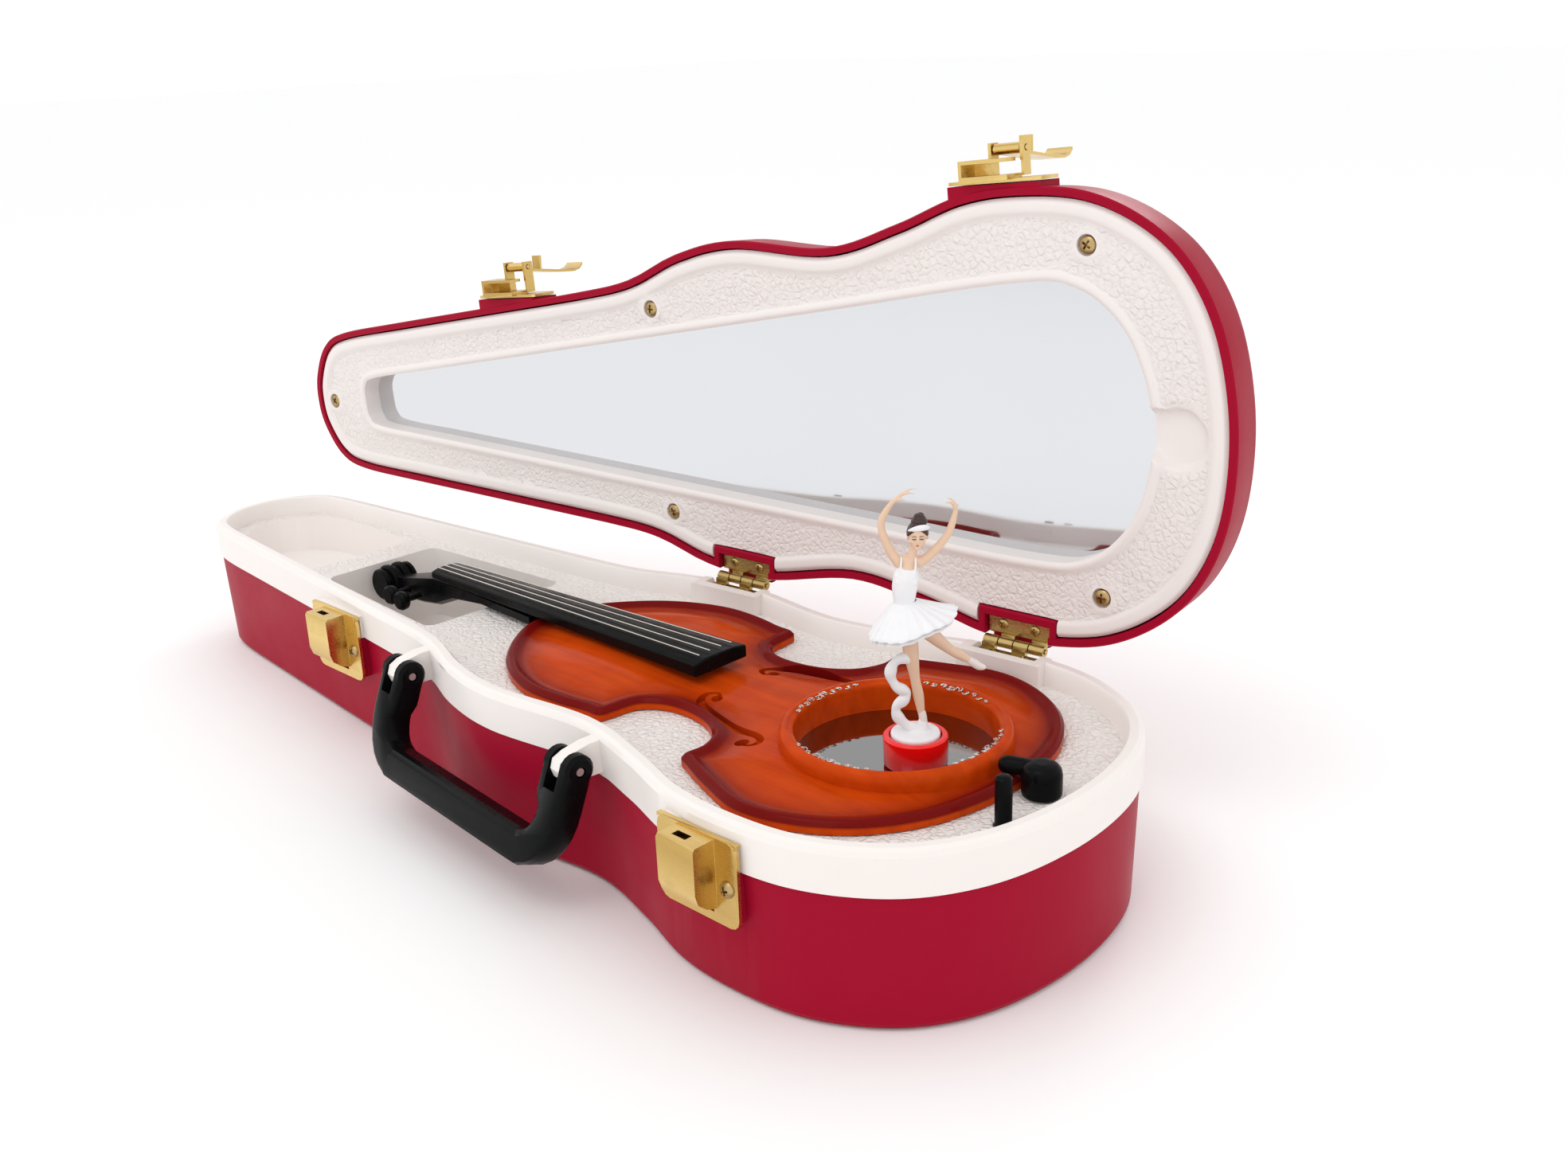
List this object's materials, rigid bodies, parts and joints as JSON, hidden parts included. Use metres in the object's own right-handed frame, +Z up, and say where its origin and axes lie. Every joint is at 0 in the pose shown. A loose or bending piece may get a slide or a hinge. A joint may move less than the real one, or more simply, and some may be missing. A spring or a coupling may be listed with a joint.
{
  "type": "ballerina jewellery box",
  "caption": "Violin-shaped jewellery box with hinged mirror lid, wind-up music movement and a dancer that circles on a round mirror.",
  "frame": {"origin": "Under the middle of the case's length, on its centre line, on the plane of its feet.", "axes": "+X along the case towards its wide end, -Y the front with the handle and latches, +Y the hinge side, +Z up."},
  "size_m": [0.3233, 0.143, 0.1546],
  "materials": {
    "shell_red": "satin",
    "tray_cream": "satin",
    "liner_cream": "fine grain",
    "mirror_glass": "polished",
    "violin_orange": "high gloss lacquer",
    "black_gloss": "gloss",
    "brass": "polished",
    "steel": "brushed",
    "silver": "polished",
    "pedestal_red": "gloss",
    "dancer": "painted resin",
    "feet": "matt"
  },
  "bodies": {
    "case": {"base_shell": "shell_red", "base_tray": "tray_cream", "foot_1": "feet", "foot_2": "feet", "foot_3": "feet", "foot_4": "feet", "foot_5": "feet", "violin_body": "violin_orange", "neck_and_scroll": "black_gloss", "fingerboard": "black_gloss", "string_1": "silver", "string_2": "silver", "string_3": "silver", "string_4": "silver", "tuning_peg_1": "black_gloss", "tuning_peg_2": "black_gloss", "tuning_peg_3": "black_gloss", "tuning_peg_4": "black_gloss", "dance_floor_ring": "violin_orange", "dance_floor_mirror": "mirror_glass", "tail_clamp": "black_gloss", "hinge_leaf_base_1": "brass", "hinge_leaf_base_2": "brass", "hinge_pin_1": "steel", "hinge_pin_2": "steel", "latch_keeper_1": "brass", "latch_keeper_2": "brass", "handle_pin_1": "steel", "handle_pin_2": "steel", "movement_bedplate": "steel", "music_comb": "steel", "stop_spring": "steel"},
    "lid": {"lid_shell": "shell_red", "lid_liner": "liner_cream", "lid_mirror": "mirror_glass", "hinge_leaf_lid_1": "brass", "hinge_leaf_lid_2": "brass", "latch_plate_1": "brass", "latch_plate_2": "brass", "latch_pin_1": "brass", "latch_pin_2": "brass", "lid_screw_1": "brass", "lid_screw_2": "brass", "lid_screw_3": "brass", "lid_screw_4": "brass", "lid_screw_5": "brass"},
    "latch_lever_1": {"latch_lever_1": "brass"},
    "latch_lever_2": {"latch_lever_2": "brass"},
    "handle": {"handle": "black_gloss"},
    "mainspring": {"spring_barrel": "brass", "winding_key": "brass"},
    "cylinder": {"music_cylinder": "brass"},
    "governor": {"governor_fan": "steel"},
    "magnet_arm": {"magnet_arm": "brass", "drive_magnet": "steel"},
    "pedestal": {"pedestal": "pedestal_red", "pedestal_magnet": "steel"},
    "dancer": {"ballerina": "dancer"},
    "stop_pin": {"stop_pin": "black_gloss"}
  },
  "joints": [
    {"name": "lid_hinge", "type": "hinge", "parent": "case", "child": "lid", "pos_m": [0, 0.0429, 0.03965], "axis": [0.9956, 0.0941, 0], "range_deg": [0, 91.5]},
    {"name": "handle_swing", "type": "hinge", "parent": "case", "child": "handle", "pos_m": [0.0269, -0.046, 0.0338], "axis": [-0.996, 0.0889, 0], "range_deg": [0, 140]},
    {"name": "latch_1_flip", "type": "hinge", "parent": "lid", "child": "latch_lever_1", "pos_m": [-0.06631, 0.04392, 0.11632], "axis": [0.9909, 0.0961, 0.0941], "range_deg": [0, 185]},
    {"name": "latch_2_flip", "type": "hinge", "parent": "lid", "child": "latch_lever_2", "pos_m": [0.09504, 0.06012, 0.15203], "axis": [0.9909, 0.0961, 0.0941], "range_deg": [0, 185]},
    {"name": "mainspring_turn", "type": "hinge", "parent": "case", "child": "mainspring", "pos_m": [0.084, -0.004, 0.0146], "axis": [0, 0, 1], "continuous": true},
    {"name": "cylinder_turn", "type": "hinge", "parent": "case", "child": "cylinder", "pos_m": [0.1035, 0, 0.0196], "axis": [0, -1, 0], "continuous": true},
    {"name": "governor_spin", "type": "hinge", "parent": "case", "child": "governor", "pos_m": [0.1265, -0.0188, 0.0144], "axis": [0, 0, 1], "continuous": true},
    {"name": "magnet_arm_turn", "type": "hinge", "parent": "case", "child": "magnet_arm", "pos_m": [0.112, 0, 0.0274], "axis": [0, 0, 1], "continuous": true},
    {"name": "dancer_orbit", "type": "hinge", "parent": "case", "child": "pedestal", "pos_m": [0.112, 0, 0.0339], "axis": [0, 0, 1], "continuous": true},
    {"name": "dancer_lift_off", "type": "slide", "parent": "pedestal", "child": "dancer", "axis": [0, -0.8, 0.6], "range_m": [0, 0.1283]},
    {"name": "stop_pin_press", "type": "slide", "parent": "case", "child": "stop_pin", "axis": [0, 0, -1], "range_m": [0, 0.0056], "deforming": ["stop_spring"]}
  ],
  "couplings": [
    {"joint": "cylinder_turn", "follows": "mainspring_turn", "ratio": 2},
    {"joint": "governor_spin", "follows": "mainspring_turn", "ratio": 8},
    {"joint": "magnet_arm_turn", "follows": "mainspring_turn", "ratio": 2},
    {"joint": "dancer_orbit", "follows": "mainspring_turn", "ratio": 2},
    {"joint": "dancer_lift_off", "follows": "lid_hinge", "m_per_rad": 0.08},
    {"joint": "stop_pin_press", "follows": "lid_hinge", "m_per_rad": 0.003256}
  ]
}
